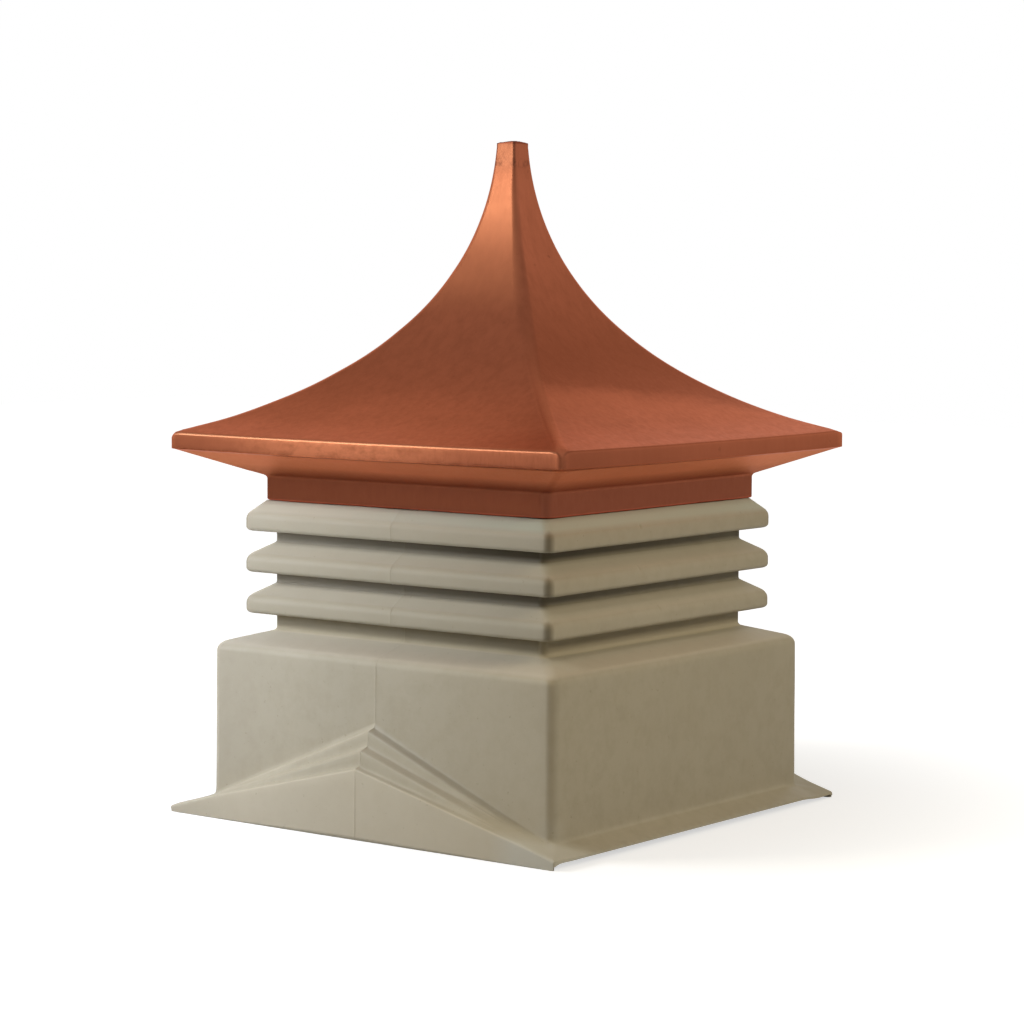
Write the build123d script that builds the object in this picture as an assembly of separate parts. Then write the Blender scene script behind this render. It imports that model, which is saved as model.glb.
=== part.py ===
"""Square louvred roof cupola with a bell-cast hipped cap.

A two-part hollow moulding: a base with a plain box, three louvre rings and a
skirt that sits on a roof ridge, and a cap with a boxed eave. Every side of both
mouldings is its own solid, mitred to its neighbours on the diagonals.

Frame: millimetres, +Z up, origin at the middle of the base plane.
-Y is the front gable end, +X the right-hand eave side. The roof ridge that the
cupola straddles runs along Y. A "half" is a distance from the centre line to a
flat side.
"""
import os
from math import atan, hypot, pi, tan

from build123d import *

# ---------------------------------------------------------------- sizes, mm
SKIN = 3.2                      # wall of both mouldings

# box
BOX_HALF = 245.5                # at its foot
BOX_DRAFT = 1.0                 # the box is this much narrower, each side, at its top
BOX_CORNER = 12.0
BOX_HEIGHT = 210.0              # from the base plane to the top of the shoulder
SHOULDER_RUN = 49.5             # from the box's face in to the throat's
SHOULDER_FALL = 0.289           # fall of the shoulder, per mm outward
SHOULDER_ROUND = 12.0

# skirt: a flange on the two eave sides, a stepped gable apron on the other two
FLANGE_RUN = 29.1               # how far the flange stands out from the box
FLANGE_TOP = 20.0               # where the flange leaves the box
FLANGE_PITCH = 4.5 / 12
FLANGE_RIM = 7.0                # lowest edge of the flange, between the feet
RIM_UNDERCUT = 1.0
APRON_RUN = 27.5                # how far the apron runs past the box, along the wall
APRON_TIP_ROUND = 12.0
LEDGE_PITCHES = (5 / 12, 4 / 12, 3 / 12)
LEDGE_MEETING = 5.5             # the ledges' lines meet this far inside the box's corner
LEDGE_DROP = 2.8                # fall of each ledge to its outer edge
LEDGE_INNER = (1.5, 13.5, 26.5)     # each ledge's edges, measured out from the box
LEDGE_OUTER = (11.5, 25.0, 35.2)
HIDDEN_RUN = 2.5                # the two upper ledges end this far past the box's corner
FOOT_TIP = 1.0                  # thickness of a foot at the base plane

# throat and louvre rings
THROAT_CORNER = 7.0
LOWEST_BAND = 19.8              # plain wall under the lowest ring
LOUVRE_RUN = 25.0               # how far a ring stands out from the throat
LOUVRE_PITCH = 47.5
LOUVRE_FACE = 18.9              # upright face of a ring
LOUVRE_FALL = 0.633             # fall of a ring's top, per mm outward
LOUVRE_ROUND = 8.0
LOUVRE_LIP_ROUND = 4.0
LOUVRE_CORNER = 9.0
NECK_RISE = 11.0                # what stands up inside the cap's collar

# cap
SIDE_GAP = 0.3                  # clearance between the cap's lip and the neck
REST_GAP = 0.1                  # clearance between the lip and the ring it rests on
LIP_RUN = 4.5                   # how far the lip turns in from the collar
COLLAR_LIFT = 2.1               # the collar's outer edge clears the neck's foot by this
COLLAR_HEIGHT = 26.4
COLLAR_CORNER = 9.0
SOFFIT_RUN = 73.2
SOFFIT_RISE = 31.1
FASCIA_DROP = 0.9               # the fascia hangs this far below the soffit's edge
FASCIA_HEIGHT = 17.8            # to the level where the roof's curve starts
FASCIA_ROUND = 6.0
FASCIA_RETURN = 10.0            # how far the fascia turns in over the roof
EAVE_CORNER = 8.0
TOTAL_HEIGHT = 773.0
STUB_HALF = 13.5
STUB_HEIGHT = 10.0
STUB_CORNER = 3.0
ROOF_HANDLE_LOW = (188.0, 65.0)     # Bezier handle, in and up from the eave
ROOF_HANDLE_HIGH = (9.3, 136.7)     # Bezier handle, out and down from the stub

# ---------------------------------------------------------------- what follows from them
BOX_HALF_TOP = BOX_HALF - BOX_DRAFT
BOX_INNER = BOX_HALF - SKIN
SHOULDER_EDGE = BOX_HEIGHT - SHOULDER_FALL * SHOULDER_RUN
WALL_TOP = SHOULDER_EDGE - SHOULDER_ROUND
FLANGE_HALF = BOX_HALF + FLANGE_RUN
APRON_HALF_WIDTH = BOX_HALF + APRON_RUN

THROAT_HALF = BOX_HALF_TOP - SHOULDER_RUN
LOUVRE_HALF = THROAT_HALF + LOUVRE_RUN
LOUVRE_BASES = [BOX_HEIGHT + LOWEST_BAND + ring * LOUVRE_PITCH for ring in range(3)]
LOUVRE_RISE = LOUVRE_FACE + LOUVRE_FALL * LOUVRE_RUN
NECK_FOOT = LOUVRE_BASES[-1] + LOUVRE_RISE

COLLAR_INNER = THROAT_HALF + SIDE_GAP + LIP_RUN
COLLAR_HALF = COLLAR_INNER + SKIN
COLLAR_BOTTOM = NECK_FOOT + COLLAR_LIFT
COLLAR_TOP = COLLAR_BOTTOM + COLLAR_HEIGHT
EAVE_HALF = COLLAR_HALF + SOFFIT_RUN + SKIN
FASCIA_BOTTOM = COLLAR_TOP + SOFFIT_RISE - FASCIA_DROP
FASCIA_TOP = FASCIA_BOTTOM + FASCIA_HEIGHT
FASCIA_INNER = EAVE_HALF - FASCIA_RETURN
STUB_BOTTOM = TOTAL_HEIGHT - STUB_HEIGHT

REACH = 2 * EAVE_HALF           # longer than any half
SIDES = {"front": 0, "right": 90, "rear": 180, "left": 270}

os.makedirs("parts", exist_ok=True)


# ---------------------------------------------------------------- helpers
def write(name, *solids):
    """Write one node's STEP file."""
    shape = Compound(children=solids) if len(solids) > 1 else solids[0]
    shape.label = name
    export_step(shape, f"parts/{name}.step")


def turned(shape, angle):
    """Turn the front side's shape to another side."""
    return Rot(0, 0, angle) * shape


def write_sides(name, *front):
    """Write a side that is the same all round as four nodes."""
    for side, angle in SIDES.items():
        write(f"{side}_{name}", *[turned(solid, angle) for solid in front])


def block(x_range, y_range, z_range):
    """Upright box from its three ranges."""
    size = [high - low for low, high in (x_range, y_range, z_range)]
    middle = [(high + low) / 2 for low, high in (x_range, y_range, z_range)]
    return Pos(*middle) * Box(*size)


def window(r_range, z_range=(0, TOTAL_HEIGHT)):
    """Rectangle in a section's plane, in half and height."""
    size = [high - low for low, high in (r_range, z_range)]
    middle = [(high + low) / 2 for low, high in (r_range, z_range)]
    return Pos(*middle) * Rectangle(*size)


def front_wedge():
    """The quarter of space that belongs to the front side."""
    corners = [(0, 0), (REACH, -REACH), (-REACH, -REACH)]
    return extrude(make_face(Polyline(*corners, close=True)), TOTAL_HEIGHT)


def rounded_prism(half, corner):
    """Upright square prism with rounded edges, over the full height."""
    return extrude(RectangleRounded(2 * half, 2 * half, corner), TOTAL_HEIGHT)


def front_side(section, half=None, corner=None):
    """Run a section along the front side, mitre it and round its corners."""
    plane = Plane(origin=(0, 0, 0), x_dir=(0, -1, 0), z_dir=(-1, 0, 0))
    side = extrude(plane * section, REACH, both=True) & front_wedge()
    if corner:
        side = side & rounded_prism(half, corner)
    return side


def shifted(points, distance):
    """Shift an open chain of points to its left, with mitred corners."""
    chain = [Vector(*point) for point in points]
    normals = []
    for start, end in zip(chain, chain[1:]):
        along = (end - start).normalized()
        normals.append(Vector(-along.Y, along.X))
    moved = [chain[0] + normals[0] * distance]
    for corner, before, after in zip(chain[1:], normals, normals[1:]):
        moved.append(corner + (before + after) * (distance / (1 + before.dot(after))))
    moved.append(chain[-1] + normals[-1] * distance)
    return moved


def skin_section(points, radii=()):
    """Section of a wall whose weather face follows points (half, height).

    The chain climbs, so the hollow side is on its left. Each radius rounds the
    weather face of one bend, all of which turn left.
    """
    inner = shifted(points, SKIN)
    if radii:
        weather = FilletPolyline(*points, radius=list(radii))
        hollow = FilletPolyline(*inner, radius=[max(r - SKIN, 0.5) for r in radii])
    else:
        weather = Polyline(*points)
        hollow = Polyline(*inner)
    ends = Line(points[0], inner[0]) + Line(points[-1], inner[-1])
    return make_face(weather + hollow + ends)


# ---------------------------------------------------------------- box and shoulder
def box_block(inset):
    """The box's outer or inner volume."""
    faces = []
    for half, height in ((BOX_HALF, 0), (BOX_HALF_TOP, WALL_TOP)):
        width = 2 * (half - inset)
        faces.append(Pos(0, 0, height) * RectangleRounded(width, width, BOX_CORNER - inset))
    return loft(faces, ruled=True)


def make_walls(apron):
    """Two gable walls that stand on the aprons, two eave walls on the flanges."""
    wall = (box_block(0) - box_block(SKIN)) & front_wedge()
    gable_wall = wall - apron
    write("front_wall", gable_wall)
    write("rear_wall", turned(gable_wall, 180))

    above_flange = block((-REACH, REACH), (-REACH, 0), (FLANGE_TOP, TOTAL_HEIGHT))
    eave_wall = (wall & above_flange) - turned(apron, 90) - turned(apron, -90)
    write("right_wall", turned(eave_wall, 90))
    write("left_wall", turned(eave_wall, -90))


def make_shoulder():
    past = 5                    # the chain overshoots, then the window trims it
    chain = [
        (BOX_HALF_TOP, WALL_TOP),
        (BOX_HALF_TOP, SHOULDER_EDGE),
        (THROAT_HALF - past, BOX_HEIGHT + past * SHOULDER_FALL),
    ]
    section = skin_section(chain, [SHOULDER_ROUND]) & window((THROAT_HALF, BOX_HALF_TOP))
    write_sides("shoulder", front_side(section, BOX_HALF_TOP, BOX_CORNER))


# ---------------------------------------------------------------- skirt
def gable_outline(distance, height, pitch, half, bottom, tip_round):
    """Upright gable face at a distance in front of the centre."""
    eave = height - pitch * half
    points = [(-half, bottom), (half, bottom), (half, eave), (0, height), (-half, eave)]
    face = make_face(Polyline(*points, close=True))
    if tip_round:
        largest = 0.95 * eave / tan((pi / 2 - atan(pitch)) / 2)
        tips = face.vertices().group_by(Axis.Y)[1]
        face = fillet(tips, min(tip_round, largest))
    return Plane(origin=(0, -distance, 0), x_dir=(1, 0, 0), z_dir=(0, -1, 0)) * face


def gable_slab(ledge, inset):
    """One step of the apron: level at its root, then falling to its outer edge.

    An inset gives the matching slab of the hollow behind the skin.
    """
    pitch = LEDGE_PITCHES[ledge]
    lowest = ledge == len(LEDGE_PITCHES) - 1
    half = (APRON_HALF_WIDTH if lowest else BOX_HALF + HIDDEN_RUN) - inset
    apex = FLANGE_TOP + pitch * (BOX_HALF - LEDGE_MEETING) - inset * hypot(1, pitch)
    bottom = -inset
    tip_round = APRON_TIP_ROUND - inset if lowest else 0
    root = BOX_INNER - 5 * inset
    inner = BOX_HALF + LEDGE_INNER[ledge] - inset
    outer = BOX_HALF + LEDGE_OUTER[ledge] - inset

    rear = gable_outline(root, apex, pitch, half, bottom, tip_round)
    middle = gable_outline(inner, apex, pitch, half, bottom, tip_round)
    edge = gable_outline(outer, apex - LEDGE_DROP, pitch, half, bottom, tip_round)
    return extrude(rear, inner - root) + loft([middle, edge], ruled=True)


def apron_volume(inset):
    """The front apron's outer volume, or the hollow behind its skin."""
    slabs = [gable_slab(ledge, inset) for ledge in range(len(LEDGE_PITCHES))]
    return slabs[0] + slabs[1] + slabs[2]


def foot_notch():
    """What is cut from the apron's ends, so that only a small foot is left."""
    centre = -(BOX_HALF + LEDGE_OUTER[-1] - FOOT_TIP - FLANGE_RIM)
    behind = block((-REACH, REACH), (centre, 0), (-FLANGE_RIM, FLANGE_RIM))
    curve = Pos(0, centre, 0) * Rot(0, 90, 0) * Cylinder(FLANGE_RIM, 2 * REACH)
    keep = APRON_HALF_WIDTH - SKIN
    return behind + curve - block((-keep, keep), (-REACH, 0), (-REACH, REACH))


def make_aprons(apron):
    front = apron - apron_volume(SKIN) - foot_notch()
    write("front_apron", front)
    write("rear_apron", turned(front, 180))


def make_flanges():
    rim_top = FLANGE_TOP - FLANGE_PITCH * FLANGE_RUN
    top = [(FLANGE_HALF, rim_top), (BOX_HALF, FLANGE_TOP), (BOX_INNER, FLANGE_TOP)]
    under = shifted(top, SKIN)
    outline = top + [(BOX_INNER, under[2].Y), (under[1].X, under[1].Y)]
    outline = outline + [(FLANGE_HALF - RIM_UNDERCUT, FLANGE_RIM), (FLANGE_HALF, FLANGE_RIM)]
    section = make_face(Polyline(*outline, close=True))
    plane = Plane(origin=(0, 0, 0), x_dir=(1, 0, 0), z_dir=(0, -1, 0))
    flange = extrude(plane * section, BOX_INNER, both=True)
    write("right_flange", flange)
    write("left_flange", turned(flange, 180))


# ---------------------------------------------------------------- throat and louvre rings
def make_louvres():
    past = 5                    # the chain overshoots, then the window trims it
    names = ("lower_louvre", "middle_louvre", "upper_louvre")
    for name, base in zip(names, LOUVRE_BASES):
        chain = [
            (THROAT_HALF, base),
            (LOUVRE_HALF, base),
            (LOUVRE_HALF, base + LOUVRE_FACE),
            (THROAT_HALF - past, base + LOUVRE_RISE + past * LOUVRE_FALL),
        ]
        section = skin_section(chain, [LOUVRE_LIP_ROUND, LOUVRE_ROUND])
        section = section & window((THROAT_HALF, LOUVRE_HALF))
        write_sides(name, front_side(section, LOUVRE_HALF, LOUVRE_CORNER))


def make_throat():
    """Plain wall under, between and above the rings, up to the neck in the cap."""
    shoulder_skin = SKIN * hypot(1, SHOULDER_FALL)
    louvre_skin = SKIN * hypot(1, LOUVRE_FALL)
    feet = [BOX_HEIGHT - shoulder_skin]
    feet = feet + [base + LOUVRE_RISE - louvre_skin for base in LOUVRE_BASES]
    heads = [base + SKIN for base in LOUVRE_BASES] + [NECK_FOOT + NECK_RISE]
    bands = []
    for foot, head in zip(feet, heads):
        section = window((THROAT_HALF - SKIN, THROAT_HALF), (foot, head))
        bands.append(front_side(section, THROAT_HALF, THROAT_CORNER))
    write_sides("throat", *bands)


# ---------------------------------------------------------------- cap
def make_collar(soffit_skin):
    upright = window((COLLAR_INNER, COLLAR_HALF), (COLLAR_BOTTOM, COLLAR_TOP + soffit_skin))
    lip_bottom = NECK_FOOT - LOUVRE_FALL * SIDE_GAP + REST_GAP
    lip = window((THROAT_HALF + SIDE_GAP, COLLAR_INNER), (lip_bottom, COLLAR_BOTTOM + SKIN))
    write_sides("collar", front_side(upright + lip, COLLAR_HALF, COLLAR_CORNER))


def make_soffit(slope):
    past = 5                    # the chain overshoots, then the window trims it
    outer = EAVE_HALF - SKIN
    chain = [
        (COLLAR_HALF - past, COLLAR_TOP - past * slope),
        (outer + past, COLLAR_TOP + SOFFIT_RISE + past * slope),
    ]
    section = skin_section(chain) & window((COLLAR_HALF, outer))
    write_sides("soffit", front_side(section))


def make_fascia():
    past = 5                    # the chain overshoots, then the window trims it
    slope = ROOF_HANDLE_LOW[1] / ROOF_HANDLE_LOW[0]
    chain = [
        (EAVE_HALF, FASCIA_BOTTOM),
        (EAVE_HALF, FASCIA_TOP),
        (FASCIA_INNER - past, FASCIA_TOP + slope * (FASCIA_RETURN + past)),
    ]
    section = skin_section(chain, [FASCIA_ROUND]) & window((FASCIA_INNER, EAVE_HALF))
    write_sides("fascia", front_side(section, EAVE_HALF, EAVE_CORNER))


def make_roof():
    """Four concave panels, steep at the stub and flaring at the eave."""
    eave = Vector(EAVE_HALF, FASCIA_TOP)
    top = Vector(STUB_HALF, STUB_BOTTOM)
    low = eave + Vector(-ROOF_HANDLE_LOW[0], ROOF_HANDLE_LOW[1])
    high = top + Vector(ROOF_HANDLE_HIGH[0], -ROOF_HANDLE_HIGH[1])
    weather = Bezier(eave, low, high, top)
    hollow_points = []
    for station in (0, 0.15, 0.3, 0.45, 0.6, 0.8, 1):
        along = weather % station
        hollow_points.append(weather @ station + Vector(-along.Y, along.X) * SKIN)
    hollow = Spline(*hollow_points, tangents=(weather % 0, weather % 1))
    ends = Line(weather @ 0, hollow @ 0) + Line(weather @ 1, hollow @ 1)
    section = make_face(weather + hollow + ends) & window((0, FASCIA_INNER))
    write_sides("roof_panel", front_side(section))


def make_stub():
    """Square stub for a vane's socket, closed on top and open to the cap's hollow."""
    width = 2 * STUB_HALF
    bore = STUB_HALF - SKIN
    outside = Pos(0, 0, STUB_BOTTOM) * extrude(
        RectangleRounded(width, width, STUB_CORNER), STUB_HEIGHT)
    inside = block((-bore, bore), (-bore, bore), (0, TOTAL_HEIGHT - SKIN))
    write("vane_stub", outside - inside)


front_apron_volume = apron_volume(0)
make_walls(front_apron_volume)
make_aprons(front_apron_volume)
make_flanges()
make_shoulder()
make_throat()
make_louvres()

soffit_rise_per_mm = SOFFIT_RISE / SOFFIT_RUN
make_collar(SKIN * hypot(1, soffit_rise_per_mm))
make_soffit(soffit_rise_per_mm)
make_fascia()
make_roof()
make_stub()
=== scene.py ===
"""Looks of the roof cupola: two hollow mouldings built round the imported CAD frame.

Both mouldings are grids of rounded-square rows. A column keeps its place round
the square, a row keeps its place in the section, so one column runs from the
rim up to the top. All lengths are metres, in the frame's own axes: -Y is the
front gable end, +X the right-hand side.
"""
import math

import bpy
import numpy as np
from mathutils import Matrix, Vector, noise


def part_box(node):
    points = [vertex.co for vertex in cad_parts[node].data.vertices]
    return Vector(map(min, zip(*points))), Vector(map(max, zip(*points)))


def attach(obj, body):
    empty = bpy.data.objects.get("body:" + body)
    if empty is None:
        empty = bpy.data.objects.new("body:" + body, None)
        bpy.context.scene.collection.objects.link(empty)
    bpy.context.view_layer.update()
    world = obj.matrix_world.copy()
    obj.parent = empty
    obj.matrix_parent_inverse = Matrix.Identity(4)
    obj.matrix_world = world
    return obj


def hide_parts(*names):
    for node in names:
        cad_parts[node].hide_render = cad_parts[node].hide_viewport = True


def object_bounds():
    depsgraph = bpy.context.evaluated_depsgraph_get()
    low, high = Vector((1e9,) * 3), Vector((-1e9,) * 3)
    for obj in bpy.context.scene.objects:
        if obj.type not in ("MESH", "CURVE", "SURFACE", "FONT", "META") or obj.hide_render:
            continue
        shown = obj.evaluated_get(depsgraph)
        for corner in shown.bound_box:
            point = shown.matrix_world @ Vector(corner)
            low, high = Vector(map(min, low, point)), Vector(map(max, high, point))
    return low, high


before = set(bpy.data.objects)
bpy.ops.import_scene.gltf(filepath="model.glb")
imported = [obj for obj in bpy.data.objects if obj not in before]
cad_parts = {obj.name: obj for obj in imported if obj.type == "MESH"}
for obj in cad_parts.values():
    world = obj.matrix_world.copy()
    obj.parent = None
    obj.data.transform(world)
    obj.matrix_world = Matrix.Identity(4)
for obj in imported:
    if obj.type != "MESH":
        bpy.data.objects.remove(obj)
CAD_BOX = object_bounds()

MM = 0.001


def mm(*lengths):
    """Several lengths at once, given in millimetres."""
    return tuple(length * MM for length in lengths)


def span(node, axis):
    """Lowest and highest coordinate of a CAD node along an axis."""
    low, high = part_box(node)
    return low[axis], high[axis]


# -------- sizes from the frame
BOX_HALF = -span("front_wall", 1)[0]
SHOULDER_FOOT, SHOULDER_TOP = span("front_shoulder", 2)
BOX_HALF_TOP = -span("front_shoulder", 1)[0]
THROAT_HALF = -span("front_throat", 1)[0]
NECK_TOP = span("front_throat", 2)[1]
LOUVRES = ("lower_louvre", "middle_louvre", "upper_louvre")
LOUVRE_BASES = [span("front_" + name, 2)[0] for name in LOUVRES]
LOUVRE_TOPS = [span("front_" + name, 2)[1] for name in LOUVRES]
LOUVRE_HALF = -span("front_lower_louvre", 1)[0]
FLANGE_HALF = span("right_flange", 0)[1]
FLANGE_RIM, FLANGE_TOP = span("right_flange", 2)
APRON_REACH = -span("front_apron", 1)[0]
APRON_HALF_WIDTH, APRON_APEX = span("front_apron", 0)[1], span("front_apron", 2)[1]
COLLAR_HALF = -span("front_collar", 1)[0]
COLLAR_BOTTOM = span("front_collar", 2)[0]
SOFFIT_FOOT = span("front_soffit", 2)[0]
EAVE_HALF = -span("front_fascia", 1)[0]
FASCIA_BOTTOM = span("front_fascia", 2)[0]
STUB_HALF = span("vane_stub", 0)[1]
STUB_BOTTOM, STUB_TOP = span("vane_stub", 2)

# -------- sizes of the visible detail
SKIN = 3.2 * MM
BOX_CORNER = 12 * MM
THROAT_CORNER = 10 * MM
LOUVRE_CORNER = 10.5 * MM
COLLAR_CORNER = 11 * MM
SHOULDER_SLOPE = 0.289
SHOULDER_ROUND = 12 * MM
LOUVRE_SLOPE = 0.633
LOUVRE_ROUND = 13 * MM
LOUVRE_LIP_ROUND = 5 * MM
LOUVRE_ROOT_ROUND = 1.2 * MM
RECESS_COVE = 5 * MM
SLOPE_COVE = 3.5 * MM           # where a louvre's slope meets the throat
BASE_SPACING, CAP_SPACING = mm(9, 7)            # between rows, at most
SOFFIT_COVE = 5 * MM
SOFFIT_EDGE = 0.9 * MM          # width of the fascia's foot
FASCIA_LIFT = 1.5 * MM          # the fascia's foot at the corners, over the CAD's
FASCIA_HEIGHT = 18.7 * MM
FASCIA_ROUND = 3.4 * MM
EAVE_CORNER = 8 * MM
ALIKE = (1.0, 1.0, 1.0, 1.0)    # shares of a radius at the four corners
EAVE_CORNER_SHARES = (1.0, 0.15, 1.0, 1.0)     # the right rear corner is crisper
EAVE_SAG = 1.4 * MM             # the long edges of the eave hang this much between corners
EAVE_TIP_ROUND = 13 * MM        # the eave's corners turn down over this length
EAVE_TIP_DROP = 4.5 * MM
REAR_TIP_SHARE = 0.4            # of that drop, at the rear corners
EAVE_BLEND = 55 * MM            # the eave's lift dies away over this much of the roof
ROOF_FOOT_HEIGHT = 17.8 * MM    # where the roof's curve would meet the fascia
COLLAR_LIP_LIFT = 0.3 * MM
COLLAR_LIP_ROUND = 1.8 * MM
STUB_SWELL = 0.5 * MM
STUB_CORNER = 4 * MM
ROOF_HANDLE_LOW = mm(188, 65)   # of the roof's curve, from its eave and from its top
ROOF_HANDLE_HIGH = mm(9.3, 136.7)
HIP_ROUNDS = ((0.0, 8 * MM), (0.15, 10 * MM), (0.5, 14 * MM), (0.85, 8 * MM), (1.0, 4 * MM))
ROOF_SLIM = 0.9 * MM            # taken off the upper roof, fully from ROOF_SLIM_SHARE up
ROOF_SLIM_SHARE = 0.4
HIP_SWELL = 0.287               # share of a hip's radius by which its rounding is made up

LEDGE_PITCHES = (5 / 12, 4 / 12, 3 / 12)
LEDGE_ENDS = 240 * MM           # the three ledges' lines meet here, either side of the apex
LEDGE_RUNS = (mm(1.5, 11.5), mm(13.5, 25), mm(26.5, 35.2))  # out from the wall
LEDGE_DROPS = mm(2.2, 2.2, 1.0)     # fall of each ledge to its edge
LEDGE_ROUND = 2.2 * MM
PANEL_REACH = APRON_REACH - 0.5 * MM     # leaves room for the parting bead
SKIRT_CORNER = 3 * MM
LEFT_TIP = CAD_BOX[1][0] - 0.2 * MM     # the panels' tips, either side of the middle
RIGHT_TIP = APRON_HALF_WIDTH + 0.2 * MM
TIP_ROUND = 5.0 * MM            # rounding of the tips as seen from the front
REAR_SAG, LEFT_SAG = mm(2.8, 1.3)       # hang of the skirt's corner wings
WING_START = 0.85 * BOX_HALF
FAN_START, FAN_END = mm(190, 246)       # the skirt's columns fan out between these
CORNER_PITCH = 0.28             # fall of the skirt past the box's corner
FLANGE_PITCH = 0.375
RIM_SHARES = (0, 0.06, 0.3, 0.6, 0.85, 1.0)
CORNER_STEP = 10                # degrees round a corner where the skirt's foot steps up
# share of a corner's columns against degrees round it
CORNER_COURSE = ((0.1875, 0.25, 0.3125, 0.6875), (0, CORNER_STEP - 1, CORNER_STEP + 1, 90))
# distance back from the panel's face against the lowest edge's height, past the corner's step
FOOT_COURSE = (
    mm(0, 0.6, 1.6, 3.2, 6, 9, 13),
    (*mm(3.2, 4.0, 4.7, 5.4, 6.2, 6.7), FLANGE_RIM),
)

BEAD_RISE = 0.45 * MM           # parting bead down the middle of the gable sides
BEAD_WIDTH = 0.9 * MM
DIMPLES = ((-51 * MM, 2), (-50 * MM, 1), (-10 * MM, 0))     # along the right side, louvre
DIMPLE_RADIUS = 3.0 * MM
DIMPLE_DEPTH = 1.2 * MM
DIMPLE_DROP = 16 * MM           # below the louvre's top
BASE_WAVES = (0.5 * MM, 130 * MM, 3)        # depth, length and seed of the unevenness
CAP_WAVES = (0.7 * MM, 90 * MM, 11)
LEVEL_START = APRON_APEX + 26 * MM          # rows are level from here up
FLASH_DEPTH, FLASH_LENGTH, FLASH_PATCH = mm(1.3, 5, 60)     # under the fascia
COLLAR_WAVE_DEPTH, COLLAR_WAVE_LENGTH = mm(0.8, 45)

# -------- heights where finishes and painted light change
TIP_TOP = mm(35, 50)
DUST_AND_TOP_LIGHT_START = mm(140, 190)
UNDERSIDE_TOP = mm(416.5, 418.5)
# line of the painted reflection on the roof's right side
REFLECTION_LINE = (-0.09, 482 * MM)   # slope along Y, and height at the middle
HIP_GLEAM_END = mm(500, 570)
ROOF_GLEAM_START = mm(575, 615)
ROOF_GLEAM_END = mm(700, 750)
STUB_SHADE_START = mm(735, 750)
SMUDGE_START = mm(741, 747)
SMUDGE_END = mm(750, 756)

# -------- lamps, room and camera
WARM = (1.0, 0.91, 0.72)
COOL = (0.72, 0.79, 0.98)
WHITE = (1.0, 1.0, 1.0)
LAMP_AIM = 400 * MM
# name, degrees round from the front (right is positive), degrees up, distance, size,
# watts, tint, whether its light is matt only or shine only
SOFTBOXES = (
    ("near_key", -45, 6, 0.98, 0.35, 8.7, COOL, "matt"),
    ("far_key", -40, 24, 2.6, 0.6, 26, (1.0, 0.96, 0.79), "matt"),
    ("fill", 92, 24, 1.8, 0.5, 12.3, WARM, "matt"),
    ("top", 75, 58, 2.2, 0.6, 8, (1.0, 0.93, 0.8), "matt"),
    ("key_shine", -30, 22, 1.35, 0.6, 4.1, (0.82, 1.0, 0.98), "shine"),
    ("back_shine", -158, 24, 3.0, 1.2, 2.0, WHITE, "shine"),
    ("left_shine", -128, 38, 3.0, 1.2, 1.8, WHITE, "shine"),
)
WORLD_AMBIENT = 0.06
WALL_NEAR, WALL_FAR, CEILING = 0.9, 0.8, 0.5
BRIGHT_WALL = (-0.707, -0.707, 0)           # directions in the room that reflections see
DARK_WALL, CAMERA_SIDE = (0.6, -0.8, 0), 0.53
CEILING_EDGE = (0.47, 0.58)
FLOOR_REACH = 8.0
FLOOR_SHINE, FLOOR_SHINE_FAR, FLOOR_SHINE_FRONT = 0.9, 0.42, 0.35
FLOOR_REAR = (-0.5, 0.87, 0)
CAMERA_AZIMUTH = math.radians(37.217)
CAMERA_DISTANCE, CAMERA_HEIGHT = 3.4264, 0.6233
CAMERA_YAW, CAMERA_PITCH, CAMERA_ROLL = (math.radians(a) for a in (-0.029, 4.654, -0.317))
LENS, SENSOR = 103.8, 36.0      # millimetres

FRONT, RIGHT, REAR = range(3)   # the left side comes last


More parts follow.
